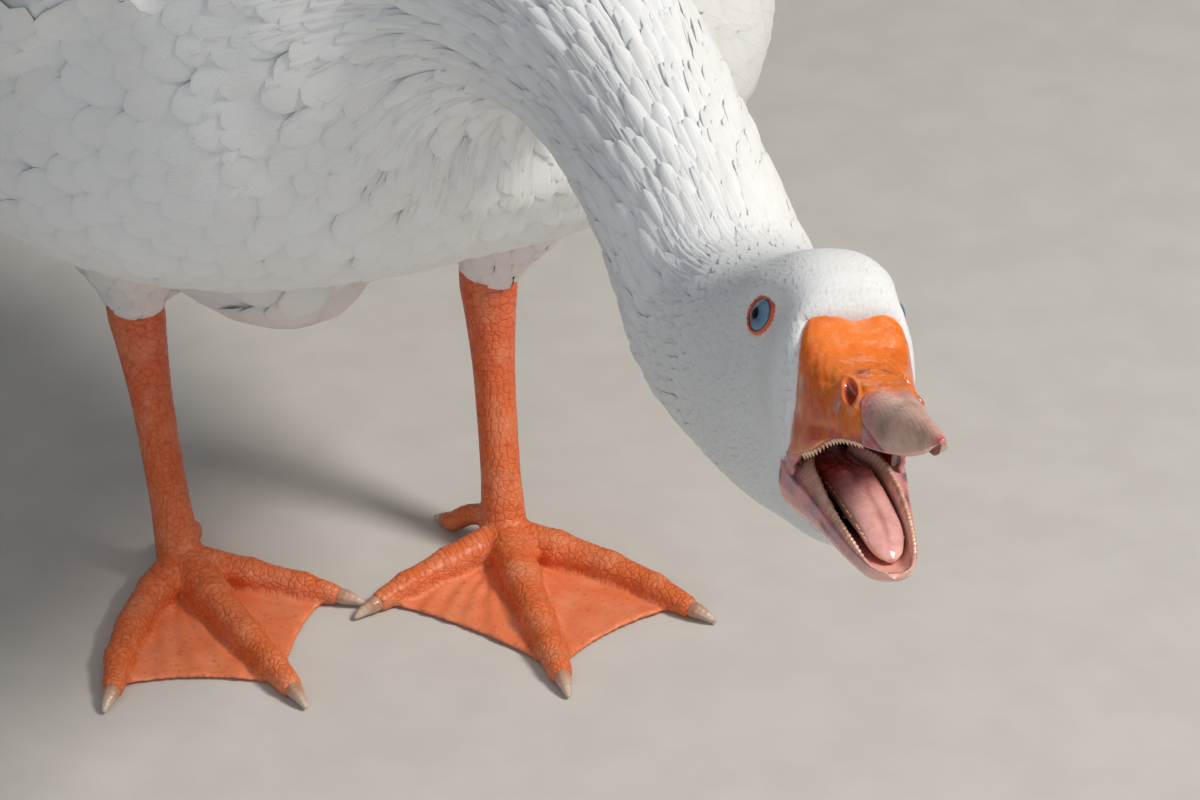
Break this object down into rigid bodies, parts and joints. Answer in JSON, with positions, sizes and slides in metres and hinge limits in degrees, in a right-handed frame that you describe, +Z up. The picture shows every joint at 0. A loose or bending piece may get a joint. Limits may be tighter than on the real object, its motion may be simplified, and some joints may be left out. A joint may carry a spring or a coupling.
{
  "type": "domestic goose",
  "caption": "Life-size still model of a white farmyard goose standing with its neck stretched forward and its bill open in a hiss.",
  "frame": {"origin": "middle of the part's box, at the level of the soles", "axes": "+X forward, the way the neck and bill point, +Y to the goose's left, +Z up"},
  "size_m": [0.8414, 0.3182, 0.4366],
  "materials": {
    "plumage": "soft white feathers",
    "bill": "moist orange skin over horn, half gloss",
    "nail": "pinkish horn, grey and streaked at its root",
    "tongue": "wet pink flesh",
    "eye_rims": "bare orange-red skin",
    "eyes": "wet, light blue iris round a black pupil",
    "legs": "orange scaly skin",
    "claws": "pale horn"
  },
  "bodies": {
    "root": {"trunk": "plumage", "neck": "plumage", "head": "plumage", "tail": "plumage", "wing_left": "plumage", "wing_right": "plumage", "thigh_left": "plumage", "thigh_right": "plumage", "shank_left": "legs", "shank_right": "legs", "foot_left": "legs", "foot_right": "legs", "claw_left_outer": "claws", "claw_left_middle": "claws", "claw_left_inner": "claws", "claw_left_hind": "claws", "claw_right_outer": "claws", "claw_right_middle": "claws", "claw_right_inner": "claws", "claw_right_hind": "claws", "bill_upper": "bill", "bill_lower": "bill", "nail": "nail", "tongue": "tongue", "eye_left": "eyes", "eye_right": "eyes", "eyelid_left": "eye_rims", "eyelid_right": "eye_rims"}
  },
  "joints": []
}
